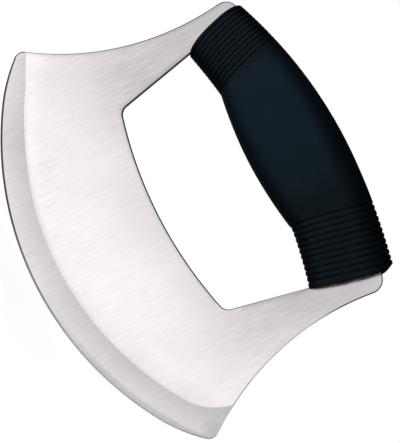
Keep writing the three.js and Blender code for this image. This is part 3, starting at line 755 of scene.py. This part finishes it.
# Moulded polypropylene: dark grey and half matt, with faint flow marks and fine pitting from the mould.
core_plastic = bpy.data.materials.new("moulded_polypropylene")
core_plastic.use_nodes = True
tree = core_plastic.node_tree
shader = tree.nodes["Principled BSDF"]
place = add(tree, "ShaderNodeTexCoord").outputs["Object"]
flow = add(tree, "ShaderNodeTexNoise", {"Vector": place, "Scale": 1000 / FLOW_MM, "Detail": 4.0})
colour = add(tree, "ShaderNodeMix",
             {"Factor": flow.outputs["Fac"], "A": linear("#26292b"), "B": linear("#2f3234")},
             data_type="RGBA")
tree.links.new(colour.outputs["Result"], shader.inputs["Base Color"])
pitting = add(tree, "ShaderNodeTexNoise", {"Vector": place, "Scale": 1000 / PITTING_MM, "Detail": 2.0})
relief = add(tree, "ShaderNodeBump",
             {"Height": pitting.outputs["Fac"], "Strength": 0.25, "Distance": PITTING_RELIEF})
tree.links.new(relief.outputs["Normal"], shader.inputs["Normal"])
shader.inputs["Roughness"].default_value = 0.5
shader.inputs["IOR"].default_value = 1.49
for name in ("core_front", "core_rear"):
    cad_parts[name].material_slots[0].material = core_plastic


# Core screws. Zinc-plated self-tapping screws that clamp the core halves on the bar.
# The plating is bright with a faint mottle.
SPANGLE_MM = 1.5

zinc = bpy.data.materials.new("zinc_plated_steel")
zinc.use_nodes = True
tree = zinc.node_tree
shader = tree.nodes["Principled BSDF"]
place = add(tree, "ShaderNodeTexCoord").outputs["Object"]
mottle = add(tree, "ShaderNodeTexNoise", {"Vector": place, "Scale": 1000 / SPANGLE_MM, "Detail": 3.0})
colour = add(tree, "ShaderNodeMix",
             {"Factor": mottle.outputs["Fac"], "A": linear("#a9adb0"), "B": linear("#c4c7c9")},
             data_type="RGBA")
tree.links.new(colour.outputs["Result"], shader.inputs["Base Color"])
gloss = add(tree, "ShaderNodeMapRange", {"Value": mottle.outputs["Fac"], "To Min": 0.28, "To Max": 0.48})
tree.links.new(gloss.outputs[0], shader.inputs["Roughness"])
shader.inputs["Metallic"].default_value = 1.0
for name in ("core_screw_toe", "core_screw_middle", "core_screw_heel"):
    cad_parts[name].material_slots[0].material = zinc


# Studio. A white floor, a white surround, and soft lamps in front and behind that the steel doesn't mirror.
# The grip gets little light from floor and surround, so it darkens toward its outline, helped by the shade
# painted on its crown and underside. In the steel, the floor falls off with distance and toward the toe, and
# the surround is dimmer, most of all overhead.
FLOOR_HALF = 3.0
TOE_FALL_OFF = (-0.6, 0.05)
SURROUND_DIM = 0.1
LAMP_AIM = Vector((0, 0, 0.11))

bm = bmesh.new()
bmesh.ops.create_grid(bm, x_segments=8, y_segments=8, size=FLOOR_HALF)
floor_mesh = bpy.data.meshes.new("floor")
bm.to_mesh(floor_mesh)
bm.free()
floor = bpy.data.objects.new("floor", floor_mesh)
bpy.context.scene.collection.objects.link(floor)
paper = bpy.data.materials.new("white_paper_floor")
paper.use_nodes = True
tree = paper.node_tree
tree.nodes.clear()
path = add(tree, "ShaderNodeLightPath").outputs
seen = add(tree, "ShaderNodeMath", {0: path["Is Camera Ray"], 1: path["Is Transmission Ray"]},
           operation="MAXIMUM")
spot = add(tree, "ShaderNodeTexCoord").outputs["Object"]
reach = add(tree, "ShaderNodeVectorMath", {0: spot}, operation="LENGTH").outputs["Value"]
white = add(tree, "ShaderNodeMapRange",
            {"Value": reach, "From Min": 0.1, "From Max": 0.3, "To Min": 0.85, "To Max": 1.0})
far = add(tree, "ShaderNodeMapRange",
          {"Value": reach, "From Min": 0.25, "From Max": 2.5, "To Min": 1.09, "To Max": 0.78})
far = add(tree, "ShaderNodeMath", {0: far.outputs[0], 1: tone_along(tree, "X", *TOE_FALL_OFF, 0.92, 1.06)},
          operation="MULTIPLY")
dim = add(tree, "ShaderNodeBsdfDiffuse", {"Color": linear("#8a8a8a")})
sheet = add(tree, "ShaderNodeBsdfDiffuse", {"Color": linear("#a0a0a0")})
glow = add(tree, "ShaderNodeEmission", {"Color": linear("#ffffff"), "Strength": white.outputs[0]})
bright = add(tree, "ShaderNodeAddShader", {0: sheet.outputs[0], 1: glow.outputs[0]})
sheen = add(tree, "ShaderNodeEmission", {"Color": linear("#ffffff"), "Strength": far.outputs[0]})
mixed = add(tree, "ShaderNodeMixShader", {0: seen.outputs[0], 1: dim.outputs[0], 2: bright.outputs[0]})
mixed = add(tree, "ShaderNodeMixShader", {0: path["Is Glossy Ray"], 1: mixed.outputs[0], 2: sheen.outputs[0]})
add(tree, "ShaderNodeOutputMaterial", {"Surface": mixed.outputs[0]})
floor_mesh.materials.append(paper)

world = bpy.data.worlds.new("studio")
world.use_nodes = True
tree = world.node_tree
tree.nodes.clear()
path = add(tree, "ShaderNodeLightPath").outputs
seen = add(tree, "ShaderNodeMath", {0: path["Is Camera Ray"], 1: path["Is Transmission Ray"]},
           operation="MAXIMUM")
aim = add(tree, "ShaderNodeTexCoord").outputs["Generated"]
aim = add(tree, "ShaderNodeSeparateXYZ", {0: aim}).outputs
side = add(tree, "ShaderNodeMapRange",
           {"Value": aim["X"], "From Min": -0.3, "From Max": 0.0, "To Min": 0.69, "To Max": 0.77})
overhead = add(tree, "ShaderNodeMapRange", {"Value": aim["Z"], "From Min": 0.4, "From Max": 0.75,
                                            "To Min": side.outputs[0], "To Max": SURROUND_DIM})
mirrored = add(tree, "ShaderNodeMath", {0: path["Is Glossy Ray"], 1: overhead.outputs[0]},
               operation="MULTIPLY")
either = add(tree, "ShaderNodeMath", {0: seen.outputs[0], 1: mirrored.outputs[0]}, operation="MAXIMUM")
strength = add(tree, "ShaderNodeMath", {0: either.outputs[0], 1: SURROUND_DIM}, operation="MAXIMUM")
surround = add(tree, "ShaderNodeBackground", {"Color": linear("#ffffff"), "Strength": strength.outputs[0]})
add(tree, "ShaderNodeOutputWorld", {"Surface": surround.outputs[0]})
bpy.context.scene.world = world

for name, place, wide, tall, power in (
        ("toe_lamp", (-0.3, -0.4, 0.1), 0.3, 0.18, 2.5),
        ("heel_lamp", (0.6, -0.6, 0.1), 0.4, 0.14, 0.6),
        ("rear_lamp", (0.4, 0.6, 0.2), 0.4, 0.3, 5.0)):
    lamp = bpy.data.lights.new(name, "AREA")
    lamp.shape = "RECTANGLE"
    lamp.size = wide
    lamp.size_y = tall
    lamp.energy = power
    holder = bpy.data.objects.new(name, lamp)
    holder.location = place
    holder.visible_glossy = False
    holder.rotation_euler = (LAMP_AIM - Vector(place)).to_track_quat("-Z", "Y").to_euler()
    bpy.context.scene.collection.objects.link(holder)

bpy.context.scene.view_settings.view_transform = "Standard"
